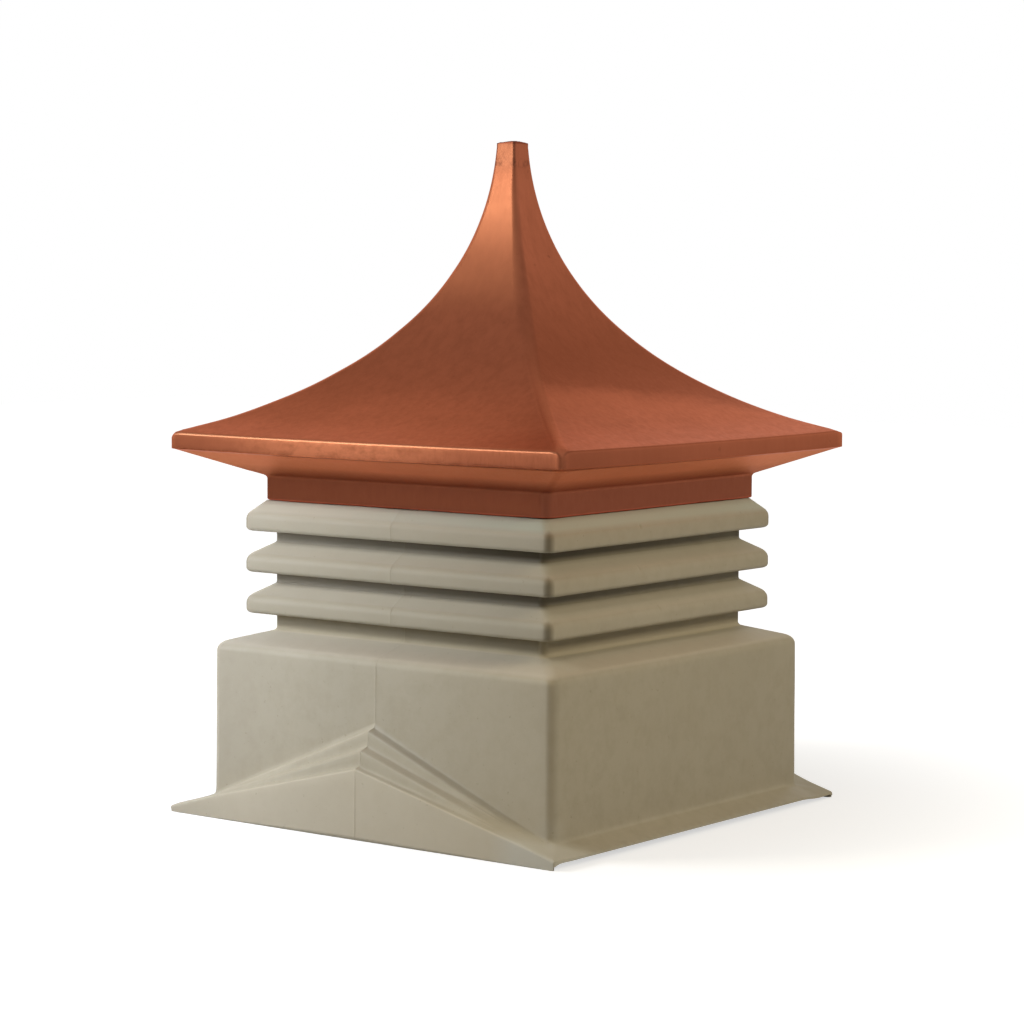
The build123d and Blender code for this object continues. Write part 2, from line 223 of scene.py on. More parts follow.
# -------- columns round the square
class Columns:
    """Places round a rounded square, seen from above from the front's left end.

    side is the flat side a column is on, or the one before its corner. t runs
    from -1 to 1 along a flat side. turn is 0 on a flat side and runs from 0 to 1
    round the corner after it. gable is 1 on the gable sides, 0 on the eave sides
    and between them round a corner.
    """

    ARC_STEPS = 16
    SIDE_STEPS = 44
    END_PULL = 0.45             # how much closer the columns get toward a side's ends
    CLOSEST = 0.0004            # columns nearer than this share of a side become one

    def __init__(self):
        side, t, turn = [], [], []
        for index in range(4):
            places = self.places(index)
            arc = [step / self.ARC_STEPS for step in range(1, self.ARC_STEPS)]
            side += [index] * (len(places) + len(arc))
            t += places + [1.0] * len(arc)
            turn += [0.0] * len(places) + arc
        self.side, self.t, self.turn = np.array(side), np.array(t), np.array(turn)
        self.count = len(side)
        self.flat = self.turn == 0
        self.starts_gable = np.isin(self.side, (FRONT, REAR))
        self.gable = np.where(self.starts_gable, 1 - self.turn, self.turn)

    def places(self, index):
        """Places along one flat side, closer at its ends and round its marks."""
        half_steps = self.SIDE_STEPS // 2
        even = [step / half_steps for step in range(-half_steps, half_steps + 1)]
        pull = self.END_PULL
        places = [(1 - pull) * s + pull * math.sin(s * math.pi / 2) for s in even]
        if index in (FRONT, REAR):
            places += [o * BEAD_WIDTH / BOX_HALF for o in (-2, -1, -0.5, 0.5, 1, 2)]
        if index == RIGHT:
            for centre in {along for along, _ in DIMPLES}:
                steps = [o * DIMPLE_RADIUS / 4 for o in range(-5, 6)]
                places += [(centre + step) / (LOUVRE_HALF - LOUVRE_CORNER) for step in steps]
        places.sort()
        kept = [places[0]]
        for place in places[1:]:
            if place - kept[-1] > self.CLOSEST:
                kept.append(place)
        return kept

    def ring(self, half, corner, shares=ALIKE):
        """Plan points of a rounded square, one for each column.

        shares scale the radius of the corners after the front, right, rear and
        left sides.
        """
        after = corner * np.array(shares)[self.side]
        before = corner * np.array(shares)[self.side - 1]
        angle = self.turn * math.pi / 2
        straight = lerp(before - half, half - after, (self.t + 1) / 2)
        along = np.where(self.flat, straight, half - after * (1 - np.sin(angle)))
        out = np.where(self.flat, half, half - after * (1 - np.cos(angle)))
        return self.place(along, out)

    def place(self, along, out):
        """Turn points given along and out from each column's own side into the frame."""
        sides = [self.side == index for index in range(4)]
        x = np.select(sides, [along, out, -along, -out])
        y = np.select(sides, [-out, along, out, -along])
        return np.stack([x, y], axis=1)


COLUMNS = Columns()


# -------- sections
def lerp(a, b, share):
    return a + (b - a) * share


def smooth(share):
    share = np.clip(share, 0, 1)
    return share * share * (3 - 2 * share)


def arc_between(before, corner, after, radius, steps=6):
    """Points of the arc that rounds one bend of a section."""
    to_before = (Vector(before) - Vector(corner)).normalized()
    to_after = (Vector(after) - Vector(corner)).normalized()
    half_angle = to_before.angle(to_after) / 2
    reach = radius / math.tan(half_angle)
    middle = Vector(corner) + (to_before + to_after).normalized() * radius / math.sin(half_angle)
    start = Vector(corner) + to_before * reach - middle
    end = Vector(corner) + to_after * reach - middle
    sweep = start.angle(end)
    points = []
    for step in range(steps + 1):
        share = step / steps
        point = start * math.sin((1 - share) * sweep) + end * math.sin(share * sweep)
        points.append(tuple(middle + point / math.sin(sweep)))
    return points


def rounded(chain, spacing):
    """Section points along a chain of (half, height, radius), at most spacing apart."""
    bends = [[chain[0][:2]]]
    for before, corner, after in zip(chain, chain[1:], chain[2:]):
        if corner[2]:
            bends.append(arc_between(before[:2], corner[:2], after[:2], corner[2]))
        else:
            bends.append([corner[:2]])
    bends.append([chain[-1][:2]])
    points = list(bends[0])
    for bend in bends[1:]:
        start, end = Vector(points[-1]), Vector(bend[0])
        runs = max(1, math.ceil((end - start).length / spacing))
        points += [tuple(start.lerp(end, step / runs)) for step in range(1, runs)]
        points += bend
    return points


def level_row(half, height, corner, shares=ALIKE):
    """A row of the grid that is level all round."""
    plan = COLUMNS.ring(half, corner, shares)
    return np.column_stack([plan, np.full(COLUMNS.count, height)])


# -------- mesh making
def new_object(name, data):
    made = bpy.data.objects.new(name, data)
    bpy.context.scene.collection.objects.link(made)
    return made


def unit(vectors):
    return vectors / np.maximum(np.linalg.norm(vectors, axis=2, keepdims=True), 1e-12)


def normals_of(grid, smoothing=0):
    """Unit normals of a grid of points, facing out, smoothed over their neighbours."""
    across = np.roll(grid, -1, axis=1) - np.roll(grid, 1, axis=1)
    upward = np.gradient(grid, axis=0)
    normals = unit(np.cross(across, upward))
    for _ in range(smoothing):
        padded = np.concatenate([normals[:1], normals, normals[-1:]])
        normals = normals * 2 + padded[:-2] + padded[2:]
        normals += np.roll(normals, 1, axis=1) * 0.25 + np.roll(normals, -1, axis=1) * 0.25
        normals = unit(normals)
    return normals


def band_faces(lower, upper, columns):
    """Quads that join two rings of vertices."""
    pairs = [(column, (column + 1) % columns) for column in range(columns)]
    return [(lower + a, lower + b, upper + b, upper + a) for a, b in pairs]


def grid_faces(rows, columns, offset, flip):
    """Quads between neighbouring rows of a closed grid."""
    faces = []
    for row in range(rows - 1):
        low = offset + row * columns
        band = band_faces(low, low + columns, columns)
        faces += [face[::-1] for face in band] if flip else band
    return faces


def hollow_mesh(name, outer, inner, closed_top=False):
    """A closed shell from its weather face and its hollow face, both (rows, columns, 3)."""
    rows, columns = outer.shape[:2]
    start = rows * columns
    faces = grid_faces(rows, columns, 0, False)
    faces += grid_faces(len(inner), columns, start, True)
    faces += band_faces(start, 0, columns)
    top, inner_top = (rows - 1) * columns, start + (len(inner) - 1) * columns
    if closed_top:
        faces.append(tuple(range(top, top + columns)))
        faces.append(tuple(range(inner_top, inner_top + columns))[::-1])
    else:
        faces += band_faces(top, inner_top, columns)
    mesh = bpy.data.meshes.new(name)
    points = np.concatenate([outer.reshape(-1, 3), inner.reshape(-1, 3)])
    mesh.from_pydata(points.tolist(), [], faces)
    mesh.shade_smooth()
    mesh.update()
    return new_object(name, mesh)


def add_waves(grid, waves, share):
    """Sink a moulded surface by slow waves, as far as the share allows."""
    depth, size, seed = waves
    points = grid.reshape(-1, 3)
    values = [noise.noise(Vector(point / size) + Vector((seed, 0, 0))) for point in points]
    bumps = np.array(values).reshape(grid.shape[:2]) * depth * share
    return grid - normals_of(grid, smoothing=2) * np.abs(bumps)[:, :, None]


# -------- base: skirt
def ledge_line(index, across):
    """Height of a ledge's root at a distance to the side of the apex."""
    inside = FLANGE_TOP + LEDGE_PITCHES[index] * (LEDGE_ENDS - across)
    outside = FLANGE_TOP - CORNER_PITCH * (across - LEDGE_ENDS)
    return np.where(across < LEDGE_ENDS, inside, outside)


def gable_section(across):
    """Skirt's section on a gable side, rim to wall: rows of (run from the wall, height)."""
    roots = [ledge_line(index, across) for index in range(3)]
    edges = [root - drop for root, drop in zip(roots, LEDGE_DROPS)]
    for index in (0, 1):
        edges[index] = np.maximum(edges[index], roots[index + 1])
    reach = PANEL_REACH - BOX_HALF
    top_edge = edges[2]
    rows = [(reach, (top_edge - LEDGE_ROUND) * share) for share in RIM_SHARES[:-1]]
    rows += [
        (reach - 0.15 * MM, top_edge - LEDGE_ROUND),
        (reach - 0.7 * MM, top_edge - 0.25 * LEDGE_ROUND),
        (reach - 2.2 * MM, top_edge + 0.1 * MM),
    ]
    for index in (2, 1, 0):
        toe, outer = LEDGE_RUNS[index]
        rows.append(((toe + outer) / 2, lerp(roots[index], edges[index], 0.5)))
        if index:
            below, above = roots[index], edges[index - 1]
            riser = np.maximum(above - below, 0)
            bend = np.minimum(LEDGE_ROUND, riser / 2)
            lip = LEDGE_RUNS[index - 1][1]
            rows += [
                (toe + 1.6 * MM, below),
                (toe + 0.4 * MM, below + 0.3 * bend),
                (lerp(toe, lip, 0.25), below + bend),
                (lerp(toe, lip, 0.55), below + riser / 2),
                (lerp(toe, lip, 0.85), above - bend),
                (lip - 0.6 * MM, above - 0.25 * bend),
                (lip - 2.2 * MM, above + 0.1 * bend),
            ]
    for run, lift in ((2.6, -0.2), (1.3, 0.5), (0.45, 1.7), (0.0, 4.0)):
        rows.append((run * MM, roots[0] + lift * MM))
    return rows


def flange_section(reach, count):
    """Skirt's section on an eave side, with as many rows as a gable side's."""
    rim_top = FLANGE_TOP - FLANGE_PITCH * reach
    shares = (0, 0.2, 0.4, 0.6, 0.8)
    rows = [(reach, lerp(FLANGE_RIM, rim_top - 0.6 * MM, share)) for share in shares]
    for back, rise in ((0.02, -0.5), (0.3, -0.05), (1.0, FLANGE_PITCH)):
        rows.append((reach - back * MM, rim_top + rise * MM))
    open_rows = count - len(rows) - 4
    for step in range(open_rows):
        run = lerp(reach - 2 * MM, 4 * MM, step / (open_rows - 1))
        rows.append((run, FLANGE_TOP - FLANGE_PITCH * run))
    for run, lift in ((2.4, -2 * FLANGE_PITCH), (1.2, 0.3), (0.4, 1.5), (0.0, 4.0)):
        rows.append((run * MM, FLANGE_TOP + lift * MM))
    return rows


def skirt_outline():
    """Plan points of the skirt's outer edge, and the height of its foot at each one."""
    box = BOX_HALF - BOX_CORNER
    along = np.abs(COLUMNS.t) * box
    spread = smooth((along - FAN_START) / (box - FAN_START))
    along = (along + spread * (FAN_END - box)) * np.sign(COLUMNS.t)
    starts_gable = COLUMNS.starts_gable
    out = np.where(starts_gable, PANEL_REACH, FLANGE_HALF)

    # round the corner: on along the panel, round the arc, back along the rim
    course = np.where(starts_gable, COLUMNS.turn, 1 - COLUMNS.turn)
    course = np.where(COLUMNS.flat, np.where(starts_gable, 0, 1), course)
    angle = np.radians(np.interp(course, *CORNER_COURSE))
    to_arc, from_arc = CORNER_COURSE[0][0], CORNER_COURSE[0][-1]
    tip = np.where(np.isin(COLUMNS.side, (FRONT, RIGHT)), RIGHT_TIP, LEFT_TIP)
    across = tip - SKIRT_CORNER * (1 - np.sin(angle))
    across -= (tip - SKIRT_CORNER - FAN_END) * np.clip(1 - course / to_arc, 0, 1)
    depth = PANEL_REACH - SKIRT_CORNER * (1 - np.cos(angle))
    back = np.clip((course - from_arc) / (1 - from_arc), 0, 1)
    depth -= (PANEL_REACH - SKIRT_CORNER - FAN_END) * back
    across -= (tip - FLANGE_HALF) * smooth(back)
    along = np.where(COLUMNS.flat, along, np.where(starts_gable, across, depth))
    out = np.where(COLUMNS.flat, out, np.where(starts_gable, depth, across))
    foot = np.interp(PANEL_REACH - depth, *FOOT_COURSE)
    foot = np.where(COLUMNS.flat, np.where(starts_gable, 0, FLANGE_RIM), foot)
    foot = np.where(angle < math.radians(CORNER_STEP), 0, foot)
    return COLUMNS.place(along, out), foot


def skirt_grid():
    """Rows of the skirt from its rim up to the foot of the box's walls."""
    wall = COLUMNS.ring(BOX_HALF, BOX_CORNER)
    edge, foot = skirt_outline()
    count = len(gable_section(np.zeros(1)))
    flange = flange_section(FLANGE_HALF - BOX_HALF, count)
    gable = smooth(COLUMNS.gable)
    rows = []
    for index in range(count):
        run_gable = gable_section(np.zeros(1))[index][0] / (PANEL_REACH - BOX_HALF)
        run_flange, flange_height = flange[index]
        share = lerp(run_flange / (FLANGE_HALF - BOX_HALF), run_gable, gable)
        plan = lerp(wall, edge, share[:, None])
        across = np.abs(plan[:, 0])
        lift = flange_height - (FLANGE_TOP - FLANGE_PITCH * run_flange)
        at_flange = FLANGE_TOP - FLANGE_PITCH * (across - BOX_HALF) + lift
        height_flange = np.where(gable > 0, at_flange, flange_height)
        height = lerp(height_flange, gable_section(across)[index][1], gable)
        if index < len(RIM_SHARES):
            height = rim_height(RIM_SHARES[index], edge, gable, foot)
        if index < count - 1:
            height = height - wing_sag(plan, height)
        rows.append(np.column_stack([plan, height]))
    return rows


def wing_sag(plan, height):
    """How far the skirt's corner wings hang, all but the near one."""
    past = smooth((np.abs(plan) - WING_START) / (BOX_HALF - WING_START))
    sag = np.where(plan[:, 1] > 0, REAR_SAG, LEFT_SAG) * past[:, 0] * past[:, 1]
    sag = np.where((plan[:, 0] > 0) & (plan[:, 1] < 0), 0, sag)
    lowest, whole = 2 * MM, 8 * MM      # heights where the hang starts and is full
    return sag * np.clip((height - lowest) / (whole - lowest), 0, 1)


def rim_height(share, edge, gable, foot):
    """Height at a share of the way from the skirt's lowest edge up its outer face."""
    across = np.abs(edge[:, 0])
    panel_top = ledge_line(2, across) - LEDGE_DROPS[2] - LEDGE_ROUND
    rim_top = FLANGE_TOP - FLANGE_PITCH * (FLANGE_HALF - BOX_HALF) - 0.5 * MM
    tip = np.where(edge[:, 0] > 0, RIGHT_TIP, LEFT_TIP)
    past = np.clip((across - tip + TIP_ROUND) / TIP_ROUND, 0, 1)
    rounding = TIP_ROUND * (1 - np.sqrt(1 - past ** 2))
    near_tip = (edge[:, 0] > 0) & (edge[:, 1] < 0)
    bottom = np.where(near_tip, foot, np.maximum(foot, 0.8 * rounding))
    top = lerp(rim_top, panel_top, gable) - 0.5 * rounding
    return lerp(bottom, np.maximum(top, bottom + 0.8 * MM), share)


# -------- base: box, shoulder, throat, louvres
def base_corner(half, height):
    """Radius of the base's upright corners where its section has this half."""
    if height < SHOULDER_TOP + 1 * MM:
        share = (half - THROAT_HALF) / (BOX_HALF_TOP - THROAT_HALF)
        return lerp(THROAT_CORNER, BOX_CORNER, min(max(share, 0), 1))
    share = (half - THROAT_HALF) / (LOUVRE_HALF - THROAT_HALF)
    return lerp(THROAT_CORNER, LOUVRE_CORNER, min(max(share, 0), 1))


def upper_base_section(foot):
    """Section from the box's wall at a height up to the top of the neck."""
    shoulder_edge = SHOULDER_TOP - SHOULDER_SLOPE * (BOX_HALF_TOP - THROAT_HALF)
    chain = [
        (lerp(BOX_HALF, BOX_HALF_TOP, foot / shoulder_edge), foot, 0),
        (BOX_HALF_TOP, shoulder_edge, SHOULDER_ROUND),
        (THROAT_HALF, SHOULDER_TOP, RECESS_COVE),
    ]
    for base, top in zip(LOUVRE_BASES, LOUVRE_TOPS):
        face_top = top - LOUVRE_SLOPE * (LOUVRE_HALF - THROAT_HALF)
        chain += [
            (THROAT_HALF, base, LOUVRE_ROOT_ROUND),
            (LOUVRE_HALF, base, LOUVRE_LIP_ROUND),
            (LOUVRE_HALF, face_top, LOUVRE_ROUND),
            (THROAT_HALF, top, SLOPE_COVE),
        ]
    # the upper louvre's slope rises to the collar's lip before it reaches the throat
    chain.insert(-1, (COLLAR_HALF + 0.5 * MM, COLLAR_BOTTOM + 0.1 * MM, 0))
    chain.append((THROAT_HALF, NECK_TOP, 0))
    return rounded(chain, BASE_SPACING)


def closer_at_start(share):
    """Steps of a run that are closer at its start than at its end."""
    return lerp(share ** 1.6, share, 0.35)


def wall_rows(junction, top, steps=12):
    """Rows of the box's wall between the skirt and the level rows above it."""
    rows = []
    for step in range(1, steps):
        height = lerp(junction, top, closer_at_start(step / steps))
        plan = COLUMNS.ring(BOX_HALF, BOX_CORNER)
        taper = lerp(1, BOX_HALF_TOP / BOX_HALF, height / SHOULDER_FOOT)
        rows.append(np.column_stack([plan * taper[:, None], height]))
    return rows


def add_parting_bead(grid):
    """Raise the thin bead down the middle of the gable sides, a little uneven."""
    shape = np.clip(1 - np.abs(grid[:, :, 0]) / BEAD_WIDTH, 0, 1)
    shape *= COLUMNS.flat & COLUMNS.starts_gable
    places = [(0, row * 0.9, height / (6 * MM)) for row, height in enumerate(grid[:, 0, 2])]
    uneven = np.array([0.7 + 0.5 * noise.noise(Vector(place)) for place in places])
    rise = shape * BEAD_RISE * uneven[:, None]
    return grid + normals_of(grid) * rise[:, :, None]


def add_dimples(grid):
    """Press the small round marks into the right-hand side's louvres."""
    normals = normals_of(grid)
    for along, louvre in DIMPLES:
        sideways = grid[:, :, 1] - along
        upward = grid[:, :, 2] - (LOUVRE_TOPS[louvre] - DIMPLE_DROP)
        distance = np.hypot(sideways, upward) / DIMPLE_RADIUS
        dent = np.clip(1 - distance ** 2, 0, 1) ** 1.5 * (grid[:, :, 0] > 0)
        grid -= normals * (dent * DIMPLE_DEPTH)[:, :, None]
    return grid


def build_base():
    """The beige moulding: its skirt, box, shoulder, throat and louvres."""
    skirt = skirt_grid()
    section = upper_base_section(LEVEL_START)
    upper = [level_row(half, height, base_corner(half, height)) for half, height in section]
    grid = np.array(skirt + wall_rows(skirt[-1][:, 2], LEVEL_START) + upper)

    above_skirt = smooth((grid[:, :, 2] - 30 * MM) / (40 * MM))
    grid = add_waves(grid, BASE_WAVES, above_skirt)
    grid = add_parting_bead(grid)
    grid = add_dimples(grid)

    # the inner face stays level with the rim at the foot and with the neck's top
    inner = grid - normals_of(grid, smoothing=6) * SKIN
    inner[0, :, 2] = grid[0, :, 2]
    inner[:, :, 2] = np.maximum(inner[:, :, 2], grid[0, :, 2])
    inner[-1, :, 2] = grid[-1, :, 2]
    return hollow_mesh("base_moulding", grid, inner)


# -------- cap
def hip_round(share):
    """Radius of the roof's hips at a share of the way up its curve."""
    for (low, start), (high, end) in zip(HIP_ROUNDS, HIP_ROUNDS[1:]):
        if share <= high:
            break
    return lerp(start, end, smooth((share - low) / (high - low)))


def roof_curve(lift, steps=72):
    """Share of the way, half, height and hip radius along the roof's concave section.

    lift is how much higher the curve starts, and dies away up the roof.
    """
    eave = Vector((EAVE_HALF, FASCIA_BOTTOM + ROOF_FOOT_HEIGHT))
    top = Vector((STUB_HALF + STUB_SWELL, STUB_BOTTOM))
    low = eave + Vector((-ROOF_HANDLE_LOW[0], ROOF_HANDLE_LOW[1]))
    high = top + Vector((ROOF_HANDLE_HIGH[0], -ROOF_HANDLE_HIGH[1]))
    points = []
    for step in range(steps + 1):
        s = step / steps
        point = eave * (1 - s) ** 3 + low * 3 * s * (1 - s) ** 2
        point += high * 3 * s ** 2 * (1 - s) + top * s ** 3
        inside = smooth((EAVE_HALF - point.x) / EAVE_BLEND)
        points.append((s, point.x, point.y + lift * (1 - inside), hip_round(s)))
    return points


def cap_section():
    """Section of the cap from its lip to the stub's top: (half, height, corner radius)."""
    lip = THROAT_HALF + 0.5 * MM
    lip_foot = COLLAR_BOTTOM + COLLAR_LIP_LIFT
    foot = FASCIA_BOTTOM + FASCIA_LIFT
    fascia_top = foot + FASCIA_HEIGHT
    curve = roof_curve(fascia_top - FASCIA_BOTTOM - ROOF_FOOT_HEIGHT)
    _, edge, edge_height, _ = next(p for p in curve if p[1] < EAVE_HALF - 8 * MM)
    chain = [
        (lip, lip_foot + 0.3 * MM, 0),
        (COLLAR_HALF, lip_foot, COLLAR_LIP_ROUND),
        (COLLAR_HALF, SOFFIT_FOOT, SOFFIT_COVE),
        (EAVE_HALF - SOFFIT_EDGE, foot, 0),
        (EAVE_HALF, foot, 0.4 * MM),
        (EAVE_HALF, fascia_top, FASCIA_ROUND),
        (edge, edge_height, 0),
    ]
    section = []
    for half, height in rounded(chain, CAP_SPACING):
        corner = COLLAR_CORNER if half < COLLAR_HALF + 12 * MM else EAVE_CORNER
        section.append((half, height, corner))
    for share, half, height, corner in curve:
        if half < edge - 1 * MM:
            extra = HIP_SWELL * corner * smooth((EAVE_HALF - half) / EAVE_BLEND)
            extra -= ROOF_SLIM * smooth(share / ROOF_SLIM_SHARE)
            section.append((half + extra, height, corner))
    stub = STUB_HALF + STUB_SWELL
    for share in (0.25, 0.5, 0.75, 0.92):
        section.append((stub, lerp(STUB_BOTTOM, STUB_TOP, share), STUB_CORNER))
    section.append((stub - 0.3 * MM, STUB_TOP - 0.3 * MM, STUB_CORNER))
    section.append((stub - 1.2 * MM, STUB_TOP - 0.5 * MM, STUB_CORNER - 0.5 * MM))
    for half, drop in ((11, 1.2), (8, 1.5), (4, 1.4), (1, 1.3)):
        section.append((half * MM, STUB_TOP - drop * MM, min(2.0, half * 0.4) * MM))
    return section


def sag_eave(grid):
    """Let the eave's long edges hang, and turn its corners' tips down."""
    half = np.maximum(np.abs(grid[:, :, 0]), np.abs(grid[:, :, 1]))
    along = np.minimum(np.abs(grid[:, :, 0]), np.abs(grid[:, :, 1])) / np.maximum(half, 1e-6)
    reach = smooth((half - (COLLAR_HALF + 5 * MM)) / (EAVE_HALF - COLLAR_HALF - 10 * MM))
    grid[:, :, 2] -= EAVE_SAG * (1 - along ** 2.2) * reach
    nearness = smooth((along * half - (EAVE_HALF - EAVE_TIP_ROUND)) / EAVE_TIP_ROUND)
    above = smooth((grid[:, :, 2] - FASCIA_BOTTOM - 0.4 * FASCIA_HEIGHT) / (0.5 * FASCIA_HEIGHT))
    drop = np.where(grid[:, :, 1] > 0, REAR_TIP_SHARE, 1.0) * EAVE_TIP_DROP
    grid[:, :, 2] -= drop * nearness * above
    return grid


def noise_round(row, level, size):
    """Smooth noise at each point of a row, in waves of a size, read at a level."""
    return np.array([noise.noise(Vector((x, y, level)) / size) for x, y, _ in row])


def roughen_trimmed_edges(grid):
    """Leave flash along the fascia's foot, the collar's foot and the stub's top."""
    for row in grid:
        middle = row.mean(axis=0)[2]
        half = np.abs(row[:, :2]).max()
        if half > EAVE_HALF - 3 * MM and middle < FASCIA_BOTTOM + FASCIA_LIFT + 0.1 * MM:
            jag = noise_round(row, 0, FLASH_LENGTH) ** 2
            patch = smooth(noise_round(row, 7, FLASH_PATCH) * 2 + 0.6)
            row[:, 2] -= FLASH_DEPTH * jag * patch
        if half < COLLAR_HALF + 1 * MM and middle < COLLAR_BOTTOM + 2.5 * MM:
            wave = noise_round(row, 2 * MM, COLLAR_WAVE_LENGTH)
            row[:, 2] += COLLAR_WAVE_DEPTH * np.maximum(0, wave)
        if half < STUB_HALF + 2 * MM and middle > STUB_TOP - 0.8 * MM:
            near_hip = smooth((row[:, 0] - row[:, 1]) / (2 * STUB_HALF) + 0.1)
            ragged = 0.5 * noise_round(row, 5, 3 * MM)
            row[:, 2] -= (2.0 * (1 - near_hip) + np.maximum(ragged, 0)) * MM
    return grid


def build_cap():
    """The copper-finish moulding: collar, soffit, fascia, roof and stub."""
    rows = []
    fascia_top = FASCIA_BOTTOM + FASCIA_LIFT + FASCIA_HEIGHT
    for half, height, corner in cap_section():
        crisp = half > COLLAR_HALF - 1 * MM and height < fascia_top + 0.1 * MM
        rows.append(level_row(half, height, corner, EAVE_CORNER_SHARES if crisp else ALIKE))
    grid = sag_eave(np.array(rows))
    on_roof = smooth((grid[:, :, 2] - FASCIA_BOTTOM) / (60 * MM))
    on_roof *= smooth((STUB_BOTTOM - grid[:, :, 2]) / (120 * MM))
    grid = roughen_trimmed_edges(add_waves(grid, CAP_WAVES, on_roof))
    inner = grid - normals_of(grid, smoothing=8) * SKIN
    inner[0, :, 2] = grid[0, :, 2] + 0.5 * MM
    inner = inner[:-5]          # the hollow ends under the stub's solid top
    return hollow_mesh("cap_moulding", grid, inner, closed_top=True)


# -------- nodes
def in_use(sockets, key):
    """A node's socket by its place, or by its name among the ones in use."""
    if isinstance(key, int):
        return sockets[key]
    return next(socket for socket in sockets if socket.name == key and socket.enabled)


class Nodes:
    """Short way to write a node tree."""

    def __init__(self, tree, coordinates="Object"):
        self.tree = tree
        self.coordinates = self.node("TexCoord", {}, coordinates)
        self.colour = None

    def node(self, kind, inputs, output=0, **settings):
        """Output of a new node, with its inputs given as values or as other outputs."""
        node = self.tree.nodes.new("ShaderNode" + kind)
        for name, value in settings.items():
            setattr(node, name, value)
        for key, value in inputs.items():
            self.feed(in_use(node.inputs, key), value)
        return in_use(node.outputs, output)

    def feed(self, socket, value):
        """Give a socket another node's output, or a plain value."""
        if isinstance(value, bpy.types.NodeSocket):
            self.tree.links.new(value, socket)
        else:
            socket.default_value = value

    def noise(self, scale, detail=3.0, roughness=0.55, stretch=None):
        place = self.coordinates
        if stretch:
            place = self.node("Mapping", {"Scale": stretch, "Vector": place}, "Vector")
        inputs = {"Vector": place, "Scale": scale, "Detail": detail, "Roughness": roughness}
        return self.node("TexNoise", inputs, "Fac")

    def remap(self, value, low, high, at_low, at_high, interpolation="LINEAR"):
        """at_low up to low, at_high from high on, and a ramp between them."""
        inputs = dict(enumerate((value, low, high, at_low, at_high)))
        return self.node("MapRange", inputs, "Result", interpolation_type=interpolation)

    def soft(self, value, low, high, at_low, at_high):
        return self.remap(value, low, high, at_low, at_high, "SMOOTHSTEP")

    def mix(self, share, first, second, data_type="RGBA"):
        inputs = {"Factor": share, "A": first, "B": second}
        return self.node("Mix", inputs, "Result", data_type=data_type)

    def math(self, operation, *values):
        return self.node("Math", dict(enumerate(values)), operation=operation)

    def times(self, *shares):
        product = shares[0]
        for share in shares[1:]:
            product = self.math("MULTIPLY", product, share)
        return product

    def paint(self, colour, *shares):
        """Lay a colour over what is there, as far as all the shares allow."""
        self.colour = self.mix(self.times(*shares), self.colour, colour)

    def bump(self, height, distance, strength, below=None):
        inputs = {"Distance": distance, "Strength": strength, "Height": height}
        if below:
            inputs["Normal"] = below
        return self.node("Bump", inputs, "Normal")

    def along(self, direction):
        """How far the coordinates lie along a direction."""
        inputs = {0: self.coordinates, 1: direction}
        return self.node("VectorMath", inputs, "Value", operation="DOT_PRODUCT")

    def part(self, axis):
        """One of the coordinates, named by its letter."""
        return self.node("SeparateXYZ", {0: self.coordinates}, axis)

    def reach(self, operation="MAXIMUM"):
        """The larger, or the smaller, of the distances out along X and along Y."""
        return self.math(operation, *[self.math("ABSOLUTE", self.part(a)) for a in "XY"])

    def nearness(self, low, high, at_low, at_high):
        """Ramp on the distance from the middle toward the front right corner, x - y."""
        distance = self.math("SUBTRACT", self.part("X"), self.part("Y"))
        return self.remap(distance, low, high, at_low, at_high)

    def facing(self, axis, low, high, at_low, at_high):
        """Ramp on how far the surface's normal points along an axis."""
        normal = self.node("NewGeometry", {}, "Normal")
        share = self.node("SeparateXYZ", {0: normal}, axis)
        return self.remap(share, low, high, at_low, at_high)

    def on_front(self):
        return self.facing("Y", -0.8, -0.4, 1.0, 0.0)

    def on_right(self):
        return self.facing("X", 0.1, 0.4, 0.0, 1.0)

    def above(self, low, high, share=1.0):
        """Nothing below low, the whole share above high."""
        return self.remap(self.part("Z"), low, high, 0.0, share)

    def below(self, low, high, share=1.0):
        return self.remap(self.part("Z"), low, high, share, 0.0)

    def outside(self, low, high, share=1.0):
        """Nothing closer in than low, the whole share farther out than high."""
        return self.remap(self.reach(), low, high, 0.0, share)

    def inside(self, low, high, share=1.0):
        return self.remap(self.reach(), low, high, share, 0.0)


def new_material(name):
    material = bpy.data.materials.new(name)
    material.use_nodes = True
    return material, Nodes(material.node_tree)


def set_inputs(n, **values):
    """Feed the shader's inputs, named in words joined by underscores."""
    shader = n.tree.nodes["Principled BSDF"]
    for name, value in values.items():
        n.feed(shader.inputs[name.replace("_", " ")], value)


def rgb(red, green, blue):
    """Linear colour from 0 to 255 display values."""
    linear = []
    for value in (red, green, blue):
        share = value / 255
        linear.append(share / 12.92 if share <= 0.04045 else ((share + 0.055) / 1.055) ** 2.4)
    return (*linear, 1.0)


# -------- beige plastic
def beige_ground(n):
    """Clouded plastic, paler on its level faces above the skirt with dust and painted top light.
    """
    n.colour = rgb(171, 162, 141)
    n.paint(rgb(176, 167, 146), n.remap(n.noise(5.0), 0.3, 0.7, 0.0, 1.0))
    n.paint(rgb(165, 155, 133), n.remap(n.noise(55.0, 4.0, 0.6), 0.42, 0.72, 0.0, 0.7))
    # dust and painted top light on the level faces
    n.paint(rgb(206, 198, 180), n.facing("Z", 0.6, 0.85, 0.0, 0.42), n.above(*DUST_AND_TOP_LIGHT_START))


